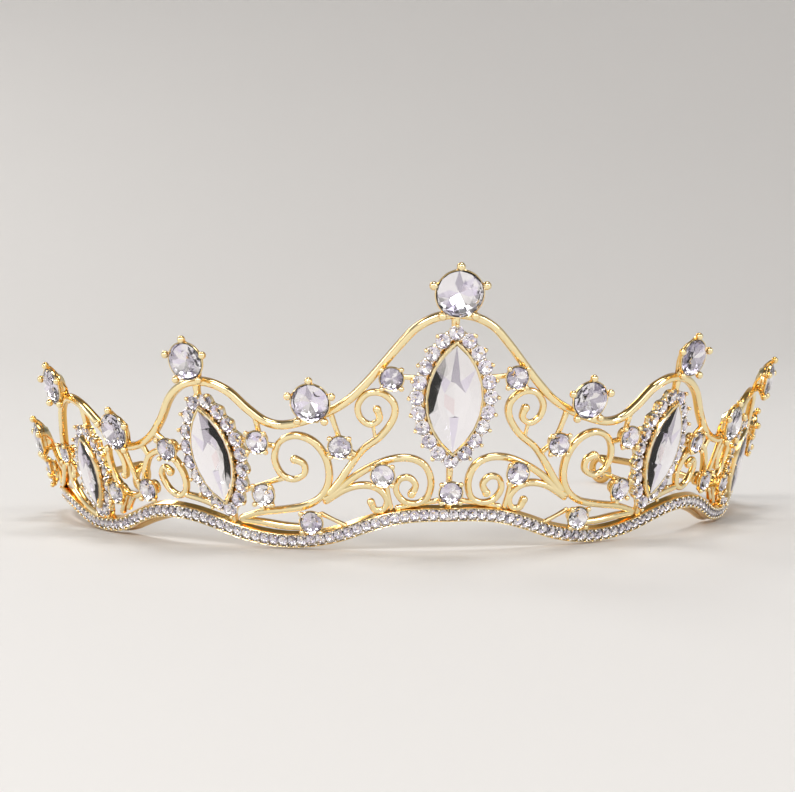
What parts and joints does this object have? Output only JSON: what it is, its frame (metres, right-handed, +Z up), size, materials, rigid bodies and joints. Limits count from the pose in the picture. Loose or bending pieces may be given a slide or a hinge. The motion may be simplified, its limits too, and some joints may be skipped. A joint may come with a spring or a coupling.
{
  "type": "diadem",
  "caption": "Openwork gold diadem with scrolls, pointed-oval stones in halos, round crest stones on a wavy stone-set band, and two head arms ending in loops.",
  "frame": {"origin": "on the floor, under the middle of the diadem", "axes": "+Z up, the centre stone faces -Y, +X to the right seen from the front"},
  "size_m": [0.1428, 0.1131, 0.0488],
  "materials": {
    "gold": "polished pale gold plating",
    "gold_strip": "satin gold plating",
    "oval_glass": "clear cut glass backed with foil",
    "round_glass": "clear cut glass backed with foil",
    "small_glass": "clear cut glass backed with foil"
  },
  "bodies": {
    "root": {"crown_frame": "gold", "left_arm": "gold_strip", "right_arm": "gold_strip", "centre_oval": "oval_glass", "left_oval_1": "oval_glass", "left_oval_2": "oval_glass", "right_oval_1": "oval_glass", "right_oval_2": "oval_glass", "top_stone": "round_glass", "left_crest_1": "round_glass", "left_crest_2": "round_glass", "left_crest_3": "round_glass", "left_crest_4": "round_glass", "left_crest_5": "round_glass", "right_crest_1": "round_glass", "right_crest_2": "round_glass", "right_crest_3": "round_glass", "right_crest_4": "round_glass", "right_crest_5": "round_glass", "centre_accent": "round_glass", "left_accent_1": "round_glass", "left_accent_2": "round_glass", "left_accent_3": "round_glass", "left_accent_4": "round_glass", "left_accent_5": "round_glass", "left_accent_6": "round_glass", "left_accent_7": "round_glass", "left_accent_8": "round_glass", "left_accent_9": "round_glass", "left_accent_10": "round_glass", "left_accent_11": "round_glass", "left_accent_12": "round_glass", "right_accent_1": "round_glass", "right_accent_2": "round_glass", "right_accent_3": "round_glass", "right_accent_4": "round_glass", "right_accent_5": "round_glass", "right_accent_6": "round_glass", "right_accent_7": "round_glass", "right_accent_8": "round_glass", "right_accent_9": "round_glass", "right_accent_10": "round_glass", "right_accent_11": "round_glass", "right_accent_12": "round_glass", "centre_halo": "small_glass", "left_halo_1": "small_glass", "left_halo_2": "small_glass", "right_halo_1": "small_glass", "right_halo_2": "small_glass", "left_band_stones": "small_glass", "right_band_stones": "small_glass"}
  },
  "joints": []
}
